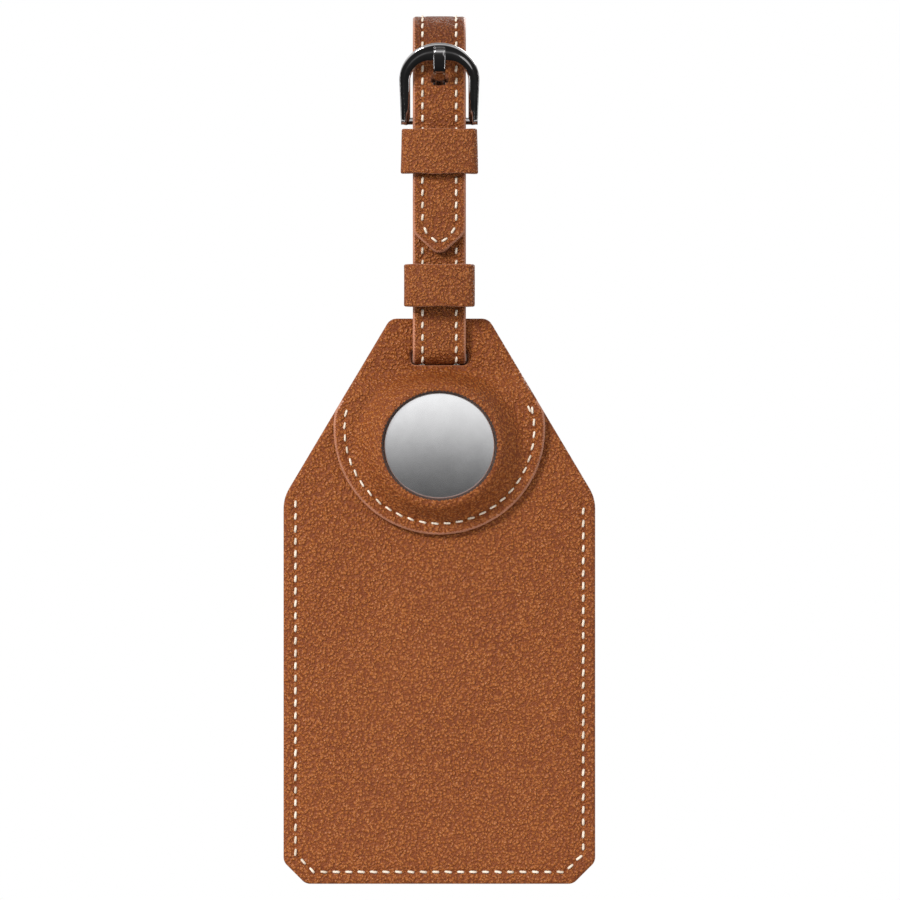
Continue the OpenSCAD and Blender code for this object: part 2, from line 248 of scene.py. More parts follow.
def leather_sheet(name, outline, holes, front, back, place, materials, step=1.3, detail=(), rim=None,
                  hole_rims=()):
    """A closed sheet whose front and back are heights over a flat pattern, placed in space by a function.

    The materials are for the front, cut edge, back, burnished rim and a near-black rim of painted shadow
    round a hole. rim gives the burnished rim's width at a point of the pattern. hole_rims gives each hole's
    own rim a width and a material.
    """
    borders = [(outline, 1)] + [(h, -1) for h in holes]
    coords, edges = [], []
    for loop, way in borders:
        for k, d in enumerate(EDGE_ROWS):
            ring = inset(loop, d * way) if d else loop
            first = len(coords)
            coords += [tuple(p) for p in ring]
            if k == 0:
                edges += [(first + i, first + (i + 1) % len(ring)) for i in range(len(ring))]
    for line in detail:
        coords += [tuple(p) for p in line[clear_of(line, outline, holes, DETAIL_CLEAR)]]
    lo, hi = outline.min(axis=0), outline.max(axis=0)
    rows = np.arange(lo[1], hi[1] + step, step * 0.87)
    grid = np.array([(x + (step / 2 if j % 2 else 0), y)
                     for j, y in enumerate(rows) for x in np.arange(lo[0], hi[0] + step, step)])
    grid = grid[clear_of(grid, outline, holes, EDGE_ROWS[-1] + step * GRID_CLEAR)]
    dense = np.array(coords)
    near = np.array([np.min(np.sum((dense - g) ** 2, axis=1)) for g in grid])
    coords += [tuple(p) for p in grid[near > (step * GRID_CLEAR) ** 2]]
    verts2, _, tris, *_ = delaunay_2d_cdt([Vector(c) for c in coords], edges, [], 0, 1e-5)
    v = np.array([tuple(p) for p in verts2])
    tris = np.array([t for t in tris if len(t) == 3])
    middle = v[tris].mean(axis=1)
    ok = inside(outline, middle)
    for h in holes:
        ok &= ~inside(h, middle)
    tris = tris[ok]
    turn = np.cross(v[tris[:, 1]] - v[tris[:, 0]], v[tris[:, 2]] - v[tris[:, 0]])
    tris = tris[np.abs(turn) > 1e-9]
    turn = turn[np.abs(turn) > 1e-9]
    tris[turn < 0] = tris[turn < 0][:, ::-1]
    used = np.unique(tris)
    renumbered = np.full(len(v), -1)
    renumbered[used] = np.arange(len(used))
    v, tris = v[used], renumbered[tris]
    n = len(v)
    edge = to_outline = distance(outline, v)
    to_holes = [distance(h, v) for h in holes]
    for d in to_holes:
        edge = np.minimum(edge, d)
    a = place(v[:, 0], v[:, 1], front(v[:, 0], v[:, 1], edge))
    b = place(v[:, 0], v[:, 1], back(v[:, 0], v[:, 1], edge))
    seen = {}
    for t in tris:
        for i in range(3):
            p, q = int(t[i]), int(t[(i + 1) % 3])
            if (q, p) in seen:
                del seen[(q, p)]
            else:
                seen[(p, q)] = True
    faces = [tuple(int(i) for i in t) for t in tris] + [tuple(int(i) + n for i in t[::-1]) for t in tris]
    front_index = np.full(len(tris), FRONT)
    if rim:
        middle = v[tris].mean(axis=1)
        front_index[to_outline[tris].mean(axis=1) < rim(middle[:, 0], middle[:, 1])] = BURNISHED
    for d, (width, index) in zip(to_holes, hole_rims):
        front_index[d[tris].mean(axis=1) < width] = index
    which = [int(k) for k in front_index] + [BACK] * len(tris)
    for p, q in seen:
        faces.append((q, p, p + n, q + n))
        which.append(CUT_EDGE)
    return piece(name, np.vstack([a, b]), faces, materials, which)


def panel(x, z, y):
    """A pattern drawn in X and Z, with its height along Y."""
    return np.stack([x, y, z], axis=1)


def rolled(edge, depth, width):
    """How far a surface falls away towards its edge."""
    return depth * np.clip(1 - edge / width, 0, 1) ** 2


def seam_dip(x, z, line, stitches):
    """Groove along a seam, deeper where the thread goes in."""
    groove, groove_half, pull, pull_spread, reach = 0.17, 0.5, 0.28, 0.22, 1.6
    pts = np.stack([x, z], axis=1)
    d = distance(np.array(line, float), pts, closed=False)
    out = groove * np.exp(-((d / groove_half) ** 2))
    close = d < reach
    if np.any(close):
        ends = np.array([p + t * s * PITCH * 0.5 for p, t in stitches for s in (-1, 1)])
        d2 = np.min(np.sum((pts[close][:, None] - ends[None]) ** 2, axis=2), axis=1)
        out[close] += pull * np.exp(-d2 / pull_spread)
    return out


def seam_detail(line):
    """Rows of extra points beside a seam, which give its groove its shape."""
    fine = resampled(list(np.array(line, float)), 0.55, closed=False)
    tangent = np.gradient(fine, axis=0)
    tangent /= np.maximum(np.linalg.norm(tangent, axis=1), 1e-9)[:, None]
    normal = np.stack([-tangent[:, 1], tangent[:, 0]], axis=1)
    return [fine + normal * d for d in (-0.95, -0.45, 0, 0.45, 0.95)]


def thread_row(name, places, material, body, length=1.75, radius=0.28, lift=0.18, seed=1):
    """One seam's stitches. places are (point, tangent, outward normal) in millimetres."""
    rng = np.random.default_rng(seed)
    verts, faces = [], []
    sides, stations = 8, 9
    sunk_ends = 0.1 + 0.42
    flatness = 0.72
    for point, tangent, normal in places:
        point, t, n = (np.array(v, float) for v in (point, tangent, normal))
        t /= np.linalg.norm(t)
        n /= np.linalg.norm(n)
        across = np.cross(t, n)
        tilt = math.radians(rng.uniform(2, 9))
        t = t * math.cos(tilt) + across * math.sin(tilt)
        across = np.cross(t, n)
        size = length * rng.uniform(0.95, 1.05)
        first = len(verts)
        for k in range(stations):
            u = -1 + 2 * k / (stations - 1)
            height = lift - sunk_ends * abs(u) ** 4
            fat = radius * (1 - 0.45 * abs(u) ** 5)
            middle = point + t * u * size / 2 + n * height
            for j in range(sides):
                a = 2 * math.pi * j / sides
                verts.append(middle + across * fat * math.cos(a) + n * fat * flatness * math.sin(a))
        for k in range(stations - 1):
            for j in range(sides):
                p, q = first + k * sides + j, first + k * sides + (j + 1) % sides
                faces.append((p, q, q + sides, p + sides))
        faces.append(tuple(first + j for j in reversed(range(sides))))
        faces.append(tuple(first + (stations - 1) * sides + j for j in range(sides)))
    obj = piece(name, verts, faces, [material], sharp=False)
    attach(obj, body)
    return obj


def swept(name, rings, materials, closed=False):
    """A tube through rings of equal length, each a list of points."""
    count, sides = len(rings), len(rings[0])
    verts = [p for ring in rings for p in ring]
    faces = []
    for k in range(count if closed else count - 1):
        for j in range(sides):
            p, q = k * sides + j, k * sides + (j + 1) % sides
            r, s = ((k + 1) % count) * sides + (j + 1) % sides, ((k + 1) % count) * sides + j
            faces.append((p, q, r, s))
    if not closed:
        faces.append(tuple(range(sides))[::-1])
        faces.append(tuple((count - 1) * sides + j for j in range(sides)))
    return piece(name, verts, faces, materials)


def outwards(obj):
    """Turns a closed mesh's faces to look outwards."""
    bm = bmesh.new()
    bm.from_mesh(obj.data)
    bmesh.ops.recalc_face_normals(bm, faces=bm.faces)
    bm.to_mesh(obj.data)
    bm.free()
    obj.data.update()


# ---- materials ----


class Nodes:
    """A material's nodes, made and linked with little writing."""

    def __init__(self, name):
        self.material = bpy.data.materials.new(name)
        self.material.use_nodes = True
        self.tree = self.material.node_tree
        self.shader = next(n for n in self.tree.nodes if n.type == "BSDF_PRINCIPLED")

    def add(self, kind, inputs=None, **settings):
        node = self.tree.nodes.new(kind)
        for key, value in settings.items():
            setattr(node, key, value)
        for key, value in (inputs or {}).items():
            if isinstance(value, bpy.types.NodeSocket):
                self.tree.links.new(value, node.inputs[key])
            else:
                node.inputs[key].default_value = value
        return node

    def set(self, **values):
        for key, value in values.items():
            socket = self.shader.inputs[key.replace("_", " ")]
            if isinstance(value, bpy.types.NodeSocket):
                self.tree.links.new(value, socket)
            else:
                socket.default_value = value

    def ramp(self, fac, *stops):
        node = self.add("ShaderNodeValToRGB", {"Fac": fac})
        while len(node.color_ramp.elements) < len(stops):
            node.color_ramp.elements.new(0.5)
        for element, (at, colour) in zip(node.color_ramp.elements, stops):
            element.position = at
            element.color = (*colour, 1)
        return node.outputs["Color"]

    def position(self):
        return self.add("ShaderNodeTexCoord").outputs["Object"]


def grained_leather(name, dark, mid, light, grain=1500.0, painted_shade_heights=None):
    """Fine pebble grain: small raised cells with a low gloss on their tops, coloured darker in the gaps and
    creases as painted shade, over the leather's own slow random mottling.

    grain is in cells a metre. The last argument gives two heights, in millimetres, between which the colour
    is darkened upwards as painted shade, for the shade where the strap bends over the top of its loop.
    """
    top_roughness, gap_roughness, painted_shade_tint = 0.3, 0.58, (0.62, 0.55, 0.45, 1)
    n = Nodes(name)
    at = n.position()
    bent = n.add("ShaderNodeTexNoise", {"Vector": at, "Scale": 520.0, "Detail": 2.0})
    warp = n.add("ShaderNodeMixRGB", {"Fac": 0.0011, "Color1": at, "Color2": bent.outputs["Color"]},
                 blend_type="ADD")
    cells = n.add("ShaderNodeTexVoronoi", {"Vector": warp.outputs["Color"], "Scale": grain,
                                           "Smoothness": 0.25, "Randomness": 0.95}, feature="SMOOTH_F1")
    pebble = n.add("ShaderNodeMapRange", {"Value": cells.outputs["Distance"], "From Min": 0.15,
                                          "From Max": 0.75, "To Min": 1.0, "To Max": 0.0},
                   interpolation_type="SMOOTHSTEP")
    creases = n.add("ShaderNodeTexNoise", {"Vector": at, "Scale": grain * 2, "Detail": 1.0, "Roughness": 0.5})
    fine = n.add("ShaderNodeTexNoise", {"Vector": at, "Scale": 3600.0, "Detail": 2.0, "Roughness": 0.6})
    height = n.add("ShaderNodeMath", {0: creases.outputs["Fac"], 1: 0.9, 2: pebble.outputs["Result"]},
                   operation="MULTIPLY_ADD")
    height = n.add("ShaderNodeMath", {0: fine.outputs["Fac"], 1: 0.35, 2: height.outputs[0]},
                   operation="MULTIPLY_ADD")
    large = n.add("ShaderNodeTexNoise", {"Vector": at, "Scale": 60.0, "Detail": 3.0, "Roughness": 0.55})
    # Colour follows the grain's height, so the gaps and creases are darker as painted shade; the slow noise
    # is the leather's own mottling.
    tone = n.add("ShaderNodeMath", {0: large.outputs["Fac"], 1: 0.1}, operation="MULTIPLY")
    tone = n.add("ShaderNodeMath", {0: creases.outputs["Fac"], 1: 0.5, 2: tone.outputs[0]},
                 operation="MULTIPLY_ADD")
    tone = n.add("ShaderNodeMath", {0: pebble.outputs["Result"], 1: 0.42, 2: tone.outputs[0]},
                 operation="MULTIPLY_ADD")
    colour = n.ramp(tone.outputs[0], (0.22, dark), (0.51, mid), (0.80, light))
    # Painted shade: the colour darkens towards the top of the strap's loop, where it bends over.
    if painted_shade_heights:
        low, high = painted_shade_heights
        height_above = n.add("ShaderNodeSeparateXYZ", {0: at}).outputs["Z"]
        share = n.add("ShaderNodeMapRange", {"Value": height_above, "From Min": low * MM,
                                             "From Max": high * MM}, interpolation_type="SMOOTHSTEP")
        colour = n.add("ShaderNodeMixRGB", {"Fac": share.outputs["Result"], "Color1": colour,
                                            "Color2": painted_shade_tint}, blend_type="MULTIPLY").outputs["Color"]
    rough = n.add("ShaderNodeMapRange", {"Value": pebble.outputs["Result"], "To Min": gap_roughness,
                                         "To Max": top_roughness})
    bumped = n.add("ShaderNodeBump", {"Height": height.outputs[0], "Strength": 1.0, "Distance": 0.00026})
    n.set(Base_Color=colour, Roughness=rough.outputs["Result"], Normal=bumped.outputs["Normal"])
    n.set(Specular_IOR_Level=0.25)
    return n.material


def plain_leather(name, dark, light, roughness, bump=0.3):
    """Smooth or sueded leather, as on linings and cut edges."""
    n = Nodes(name)
    at = n.position()
    wide = n.add("ShaderNodeTexNoise", {"Vector": at, "Scale": 120.0, "Detail": 5.0, "Roughness": 0.65})
    fine = n.add("ShaderNodeTexNoise", {"Vector": at, "Scale": 2700.0, "Detail": 4.0, "Roughness": 0.7})
    colour = n.ramp(wide.outputs["Fac"], (0.3, dark), (0.72, light))
    bumped = n.add("ShaderNodeBump", {"Height": fine.outputs["Fac"], "Strength": bump, "Distance": 0.0001})
    n.set(Base_Color=colour, Roughness=roughness, Normal=bumped.outputs["Normal"], Sheen_Weight=0.15)
    return n.material


def thread_material():
    """Waxed cream thread with a fine ply twist."""
    n = Nodes("waxed_thread")
    at = n.position()
    turned = n.add("ShaderNodeMapping", {"Vector": at, "Rotation": (0.5, 0.6, 0.75)})
    twist = n.add("ShaderNodeTexWave", {"Vector": turned.outputs["Vector"], "Scale": 900.0, "Distortion": 1.2,
                                        "Detail": 1.0})
    dirt = n.add("ShaderNodeTexNoise", {"Vector": at, "Scale": 300.0, "Detail": 3.0})
    colour = n.ramp(dirt.outputs["Fac"], (0.3, (0.50, 0.40, 0.30)), (0.6, (0.72, 0.62, 0.51)))
    bumped = n.add("ShaderNodeBump", {"Height": twist.outputs["Fac"], "Strength": 0.35, "Distance": 0.00008})
    n.set(Base_Color=colour, Roughness=0.55, Normal=bumped.outputs["Normal"])
    return n.material


def metal(name, low, high, roughness, scuffs=0.06):
    """Plated metal with faint scuffs."""
    n = Nodes(name)
    at = n.position()
    wide = n.add("ShaderNodeTexNoise", {"Vector": at, "Scale": 260.0, "Detail": 5.0, "Roughness": 0.7})
    colour = n.ramp(wide.outputs["Fac"], (0.3, low), (0.7, high))
    rough = n.add("ShaderNodeMapRange", {"Value": wide.outputs["Fac"], "From Min": 0.3, "From Max": 0.7,
                                         "To Min": roughness, "To Max": roughness + scuffs})
    fine = n.add("ShaderNodeTexNoise", {"Vector": at, "Scale": 4000.0, "Detail": 2.0})
    bumped = n.add("ShaderNodeBump", {"Height": fine.outputs["Fac"], "Strength": 0.04, "Distance": 0.00003})
    n.set(Base_Color=colour, Metallic=1.0, Roughness=rough.outputs["Result"], Normal=bumped.outputs["Normal"])
    return n.material


def moulded(name, low, high, roughness):
    """Moulded plastic, board or card stock."""
    n = Nodes(name)
    at = n.position()
    wide = n.add("ShaderNodeTexNoise", {"Vector": at, "Scale": 180.0, "Detail": 4.0})
    fine = n.add("ShaderNodeTexNoise", {"Vector": at, "Scale": 5200.0, "Detail": 3.0})
    colour = n.ramp(wide.outputs["Fac"], (0.35, low), (0.65, high))
    bumped = n.add("ShaderNodeBump", {"Height": fine.outputs["Fac"], "Strength": 0.15, "Distance": 0.00005})
    n.set(Base_Color=colour, Roughness=roughness, Normal=bumped.outputs["Normal"])
    return n.material


TAN = grained_leather("tan_leather", (0.135, 0.027, 0.0036), (0.234, 0.0605, 0.0085), (0.35, 0.118, 0.029))
# The strap's leather gets painted shade that darkens the top of its loop.
STRAP_TAN = grained_leather("strap_leather", (0.130, 0.026, 0.0040), (0.236, 0.064, 0.0100),
                            (0.36, 0.125, 0.033), grain=1650.0, painted_shade_heights=(-11, -2))
# Near-black painted shadow for the gap round the tracker's window.
GAP_SHADOW = plain_leather("painted_gap_shadow", (0.018, 0.007, 0.004), (0.045, 0.016, 0.008), roughness=0.85)
RIM = plain_leather("burnished_rim", (0.25, 0.085, 0.036), (0.40, 0.160, 0.085), roughness=0.4)
EDGE = plain_leather("painted_edge", (0.12, 0.034, 0.012), (0.25, 0.078, 0.026), roughness=0.5)
SUEDE = plain_leather("lining_suede", (0.15, 0.050, 0.020), (0.26, 0.095, 0.040), roughness=0.85, bump=0.5)
THREAD = thread_material()
NICKEL = metal("dark_nickel", (0.38, 0.37, 0.37), (0.50, 0.49, 0.49), 0.07)
STEEL = metal("steel_cover", (0.84, 0.84, 0.85), (0.90, 0.90, 0.91), 0.2, 0.03)
WHITE = moulded("white_plastic", (0.78, 0.78, 0.76), (0.84, 0.84, 0.83), 0.3)
BOARD = moulded("circuit_board", (0.02, 0.10, 0.04), (0.03, 0.16, 0.06), 0.4)
CARD = moulded("card_stock", (0.80, 0.77, 0.69), (0.86, 0.84, 0.77), 0.7)
GREY = moulded("stiff_board", (0.07, 0.07, 0.07), (0.11, 0.11, 0.11), 0.8)


# ---- tag ----


def tag_corners():
    """Corners of the tag's outline, anticlockwise from the top left."""
    left = [(-TOP_HALF, TAG_TOP), (-HALF_W, SHOULDER), (-HALF_W, TAG_LOW + CHAMFER),
            (-HALF_W + CHAMFER, TAG_LOW)]
    return left + [(-x, z) for x, z in reversed(left)]


TOP_R, SHOULDER_R, FOOT_R = 2.6, 9, 2.5
TAG_RADII = [TOP_R, SHOULDER_R, FOOT_R, FOOT_R, FOOT_R, FOOT_R, SHOULDER_R, TOP_R]
SLOPE = (HALF_W - TOP_HALF) / (TAG_TOP - SHOULDER)


def diagonal_x(z):
    """Half width of the tag at height z, above the shoulders."""
    return TOP_HALF + (TAG_TOP - z) * SLOPE


def slot_loop(half, low, corner):
    """Slot for the strap, with rounded corners."""
    corners = [(-half, SLOT_TOP), (-half, low), (half, low), (half, SLOT_TOP)]
    return rounded(corners, [corner] * 4, arc=4, gap=0.7)


def body_seam():
    """Line of the stitching down both sides and along the foot."""
    x, z, cut = HALF_W - SEAM_INSET, TAG_LOW + SEAM_INSET, CHAMFER - 0.9
    return np.array([(-x, SHOULDER), (-x, z + cut), (-x + cut, z), (x - cut, z), (x, z + cut),
                     (x, SHOULDER - 1.6)])


BODY_SEAM = body_seam()
BODY_STITCHES = along(BODY_SEAM, PITCH)


def wander(x, z):
    """Slow unevenness of a large piece of leather."""
    return 0.10 * np.sin(x * 0.11 + 0.7) * np.sin(z * 0.083 + 0.4) + 0.06 * np.sin(x * 0.23 - z * 0.17)


def front_panel():
    """Front of the pocket, filled out a little by the card, with the seam round its sides and foot."""
    mouth_r, panel_t = 0.8, 1.0
    inner = FRONT_Y + panel_t
    corners = [(-diagonal_x(MOUTH), MOUTH)] + tag_corners()[1:-1] + [(diagonal_x(MOUTH), MOUTH)]
    outline = rounded(corners, [mouth_r] + TAG_RADII[1:-1] + [mouth_r])

    def front(x, z, edge):
        fill = smooth(2.8, 8.0, edge) * smooth(MOUTH, MOUTH - 14, z)
        dip = seam_dip(x, z, BODY_SEAM, BODY_STITCHES)
        return FRONT_Y + 0.12 + rolled(edge, 0.5, 0.75) + dip - fill * (0.14 + wander(x, z))

    def back(x, z, edge):
        seam = 1 - smooth(2.9, 3.6, edge)
        open_top = smooth(SHOULDER - 2, SHOULDER, z)
        return inner + (SEAM_Y - 0.02 - inner) * seam * (1 - open_top)

    obj = leather_sheet("front_leather", outline, [], front, back, panel, [TAN, EDGE, SUEDE],
                        detail=seam_detail(BODY_SEAM))
    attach(obj, "tag")
    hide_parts("front_panel")
    places = [((p[0], FRONT_Y + 0.2, p[1]), (t[0], 0, t[1]), (0, -1, 0)) for p, t in BODY_STITCHES]
    row = thread_row("front_stitches", places, THREAD, "tag", seed=2)
    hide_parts("body_stitching")


def back_panel():
    """Plain back of the tag, with the strap's slot and the same seam as the front."""
    outline = rounded(tag_corners(), TAG_RADII)
    hole = slot_loop(BACK_SLOT_HALF, YOKE_LOW + 0.1, 0.9)

    def front(x, z, edge):
        return BACK_Y - rolled(edge, 0.45, 0.7) - seam_dip(x, z, BODY_SEAM, BODY_STITCHES) * 0.9

    def back(x, z, edge):
        return np.full(len(x), BACK_FRONT + 0.01)

    obj = leather_sheet("back_leather", outline, [hole], front, back, panel, [TAN, EDGE, SUEDE],
                        detail=seam_detail(BODY_SEAM))
    outwards(obj)
    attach(obj, "tag")
    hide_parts("back_panel")
    places = [((p[0], BACK_Y - 0.12, p[1]), (t[0], 0, t[1]), (0, 1, 0)) for p, t in BODY_STITCHES]
    thread_row("back_stitches", places, THREAD, "tag", seed=3)


# ---- flap ----


def flap_loop():
    """Outline of the top leather and flap in one: the tag's top and diagonals, then the round end."""
    tries, cut, cut_r = 400, -100.0, 0.5
    meet = 0.0
    for k in range(tries):
        z = FLAP_Z + FLAP_R * k / tries
        if diagonal_x(z) <= math.sqrt(max(FLAP_R**2 - (z - FLAP_Z) ** 2, 0)):
            meet = z
            break
    start = math.atan2(meet - FLAP_Z, diagonal_x(meet))
    arc = [np.array([FLAP_R * math.cos(a), FLAP_Z + FLAP_R * math.sin(a)])
           for a in np.linspace(math.pi - start, 2 * math.pi + start, 150)]
    half = diagonal_x(cut)
    top = rounded([(-TOP_HALF, TAG_TOP), (-half, cut), (half, cut), (TOP_HALF, TAG_TOP)],
                  [TOP_R, cut_r, cut_r, TOP_R])
    upper = sorted((p for p in top if p[1] > meet + 0.3), key=lambda p: math.atan2(p[1] - FLAP_Z, p[0]))
    return resampled(arc + upper, 0.8)


def window_loop():
    """Oval window that shows the tracker's cover."""
    a = np.linspace(0, 2 * math.pi, 96, endpoint=False)
    return np.stack([WINDOW_HALF * np.cos(a), TRACKER_Z + WINDOW_HALF_HEIGHT * np.sin(a)], axis=1)


FLAP_LOOP = flap_loop()
SEAM_START, SEAM_END = math.radians(-193), math.radians(15)
FLAP_LINE = np.array([((FLAP_R - FLAP_SEAM) * math.cos(a), FLAP_Z + (FLAP_R - FLAP_SEAM) * math.sin(a))
                      for a in np.linspace(SEAM_START, SEAM_END, 120)])
FLAP_STITCHES = along(FLAP_LINE, PITCH)
DOME_TOP = lowest("flap_leather")[1]
DOME_SHOULDER, DOME_FOOT, DOME_WIDENING, DOME_DROP = 13.6, 17.5, 2.1, 1.15
STEP_TOP, STEP_FOOT, LINING_TOP = -78.0, -83.6, -82.6
WELL_INSIDE = 9.0


def flap_height(x, z, edge):
    """Depth of the top leather and flap's front: flat top, step onto the pocket, and the tracker's dome."""
    base = TOP_Y + (FLAP_Y - TOP_Y) * smooth(STEP_TOP, STEP_FOOT, z)
    r = np.hypot(x, z - TRACKER_Z)
    lean = np.abs(x) / np.maximum(r, 1e-6)
    foot = DOME_FOOT + DOME_WIDENING * lean**2
    rise = 1 - smooth(0, 1, (r - DOME_SHOULDER) / (foot - DOME_SHOULDER))
    crown = DOME_TOP + DOME_DROP * smooth(12.4, 16.2, r)
    out = base + (crown - base) * rise
    out += rolled(edge, 0.5, 0.8)
    out += seam_dip(x, z, FLAP_LINE, FLAP_STITCHES)
    sag = 0.12 * np.sin(x * 0.29 + 1.1) * np.sin(z * 0.31) * (1 - rise)
    return out + sag * smooth(0.5, 3, edge)


def flap():
    """The top leather and flap in one sheet, and the flap's stitching."""
    top_t, dome_t = 1.2, 1.0
    holes = [slot_loop(SLOT_HALF, SLOT_LOW, 1.1), window_loop()]

    def back(x, z, edge):
        r = np.hypot(x, z - TRACKER_Z)
        floor = TOP_Y + top_t + (FLAP_BACK - 0.02 - TOP_Y - top_t) * smooth(-78.6, LINING_TOP, z)
        ceiling = flap_height(x, z, np.full(len(x), WELL_INSIDE)) + dome_t
        pocket = 1 - smooth(15.6, 16.4, r)
        return floor + (np.minimum(ceiling, floor) - floor) * pocket

    def rim(x, z):
        return np.where(z < FLAP_Z + 6.5, 0.5, 0.0)

    # The window's rim is painted shadow, near black, for the gap round the steel cover.
    obj = leather_sheet("flap_and_top", FLAP_LOOP, holes, flap_height, back, panel,
                        [TAN, EDGE, SUEDE, RIM, GAP_SHADOW], step=0.85, detail=seam_detail(FLAP_LINE), rim=rim,
                        hole_rims=[(0.22, BURNISHED), (0.42, SHADOW_RIM)])
    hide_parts("flap_leather", "top_panel")
    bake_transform(obj)

    def surface(p):
        return flap_height(np.array([p[0]]), np.array([p[1]]), np.array([WELL_INSIDE]))[0] - 0.03

    places = [((p[0], surface(p), p[1]), (t[0], 0, t[1]), (0, -1, 0)) for p, t in FLAP_STITCHES]
    p, t = FLAP_STITCHES[-1]
    places.append(((p[0] - 0.7, surface(p), p[1] + 0.3), (t[0] - 0.35, 0, t[1]), (0, -1, 0)))
    row = thread_row("flap_stitches", places, THREAD, "flap", length=1.85, radius=0.24, seed=4)
    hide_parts("flap_stitching")


def flap_lining():
    """Sueded lining behind the round part of the flap."""
    lining_t = 0.38
    outline = np.array([p for p in inset(FLAP_LOOP, 0.15) if p[1] < LINING_TOP])
    order = np.argsort(np.arctan2(outline[:, 1] - FLAP_Z, outline[:, 0]))
    outline = resampled(list(outline[order]), 0.8)

    def front(x, z, edge):
        return FLAP_BACK + lining_t - rolled(edge, 0.15, 0.5) - 0.04 * np.sin(x * 0.5) * np.sin(z * 0.4)

    def back(x, z, edge):
        return np.full(len(x), FLAP_BACK)

    obj = leather_sheet("flap_suede", outline, [], front, back, panel, [SUEDE, EDGE, SUEDE], step=1.6)
    outwards(obj)
    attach(obj, "flap")
    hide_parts("flap_lining")


def tracker():
    """Steel cover, as a smooth shallow dome with a rolled rim."""
    front = lowest("tracker_cover")[1]
    rim = 12.9
    profile = [(r, front + 1.0 * (r / rim) ** 2) for r in np.linspace(0, rim - 0.3, 26)]
    profile += [(rim - 0.1, front + 1.08), (rim, front + 1.25), (rim, front + 1.7), (10.9, front + 1.75),
                (0, front + 1.75)]
    sides = 128
    verts, faces = [(0, profile[0][1], TRACKER_Z)], []
    for r, y in profile[1:-1]:
        turns = [2 * math.pi * j / sides for j in range(sides)]
        verts += [(r * math.cos(a), y, TRACKER_Z + r * math.sin(a)) for a in turns]
    verts.append((0, profile[-1][1], TRACKER_Z))
    rings = len(profile) - 2
    for j in range(sides):
        k = (j + 1) % sides
        faces.append((0, 1 + j, 1 + k))
        faces.append((len(verts) - 1, 1 + (rings - 1) * sides + k, 1 + (rings - 1) * sides + j))
        for i in range(rings - 1):
            here, below = 1 + i * sides, 1 + (i + 1) * sides
            faces.append((here + j, below + j, below + k, here + k))
    obj = piece("steel_face", verts, faces, [STEEL])
    outwards(obj)
    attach(obj, "cover")
    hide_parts("tracker_cover")


# ---- strap ----


def bezier(a, b, c, d, t):
    """Point at t on the cubic curve from a to d, drawn towards b and c."""
    a, b, c, d = (np.array(p, float) for p in (a, b, c, d))
    return a * (1 - t) ** 3 + b * 3 * t * (1 - t) ** 2 + c * 3 * t**2 * (1 - t) + d * t**3


def strap_path():
    """Outer face of the strap in Y and Z, from the tail's tip to the end turned down behind the bar."""
    path = [(TAIL_Y, z) for z in np.linspace(TAIL_TIP, LOOP_Z, 60)]
    half_turn = np.linspace(0, math.pi, 49)[1:]
    path += [(LOOP_OUT * -math.cos(a), LOOP_Z + LOOP_OUT * math.sin(a)) for a in half_turn]
    back = YOKE_BACK
    middle = LOOP_OUT - STRAP_T / 2
    bend_from, bend_to, turned_down_z, small = -30, -42, -33.4, 0.001

    def back_middle(t):
        low = back - STRAP_T / 2
        return bezier((middle, LOOP_Z), (middle, bend_from), (low, bend_to), (low, SPLIT_TOP), t)

    for t in np.linspace(0, 1, 61)[1:]:
        p = back_middle(t)
        ahead, behind = back_middle(min(t + small, 1.0)), back_middle(t - small)
        d = (ahead - behind) / np.linalg.norm(ahead - behind)
        path.append((p[0] - d[1], p[1] + d[0]))
    turn_r = (back - LEG_Y) / 2
    turn_z = YOKE_LOW + turn_r
    path += [(back, z) for z in np.linspace(SPLIT_TOP, turn_z, 12)[1:]]
    path += [((back + LEG_Y) / 2 + turn_r * math.cos(a), turn_z - turn_r * math.sin(a))
             for a in np.linspace(0, math.pi, 25)[1:]]
    path += [(LEG_Y, z) for z in np.linspace(turn_z, BAR_Z, 70)[1:]]
    fold = highest("strap_face")[1] - BAR_Y
    half_turn = np.linspace(0, math.pi, 17)[1:]
    path += [(BAR_Y - fold * math.cos(a), BAR_Z + fold * math.sin(a)) for a in half_turn]
    path += [(BAR_Y + fold, z) for z in np.linspace(BAR_Z, turned_down_z, 14)[1:]]
    return np.array(path)


PATH = strap_path()
STEPS = np.concatenate([[0], np.cumsum(np.linalg.norm(np.diff(PATH, axis=0), axis=1))])
TANGENTS = np.gradient(PATH, STEPS, axis=0)
TANGENTS /= np.linalg.norm(TANGENTS, axis=1)[:, None]


def on_strap(x, s, depth):
    """Point at x across and s along the strap, depth below its outer face."""
    y, z = np.interp(s, STEPS, PATH[:, 0]), np.interp(s, STEPS, PATH[:, 1])
    ty, tz = np.interp(s, STEPS, TANGENTS[:, 0]), np.interp(s, STEPS, TANGENTS[:, 1])
    size = np.hypot(ty, tz)
    return np.stack([x, y + depth * tz / size, z - depth * ty / size], axis=1)


def strap_s(z, part):
    """Distance along the strap at height z, on the tail or on the front leg."""
    if part == "tail":
        return z - TAIL_TIP
    leg = np.where(np.abs(PATH[:, 0] - LEG_Y) < 1e-6)[0]
    return float(np.interp(z, PATH[leg, 1], STEPS[leg]))


def strap_hole(half, low, high, corner, arc, gap):
    """Hole through the strap between two distances along it."""
    corners = [(-half, low), (half, low), (half, high), (-half, high)]
    return rounded(corners, [corner] * 4, arc=arc, gap=gap)


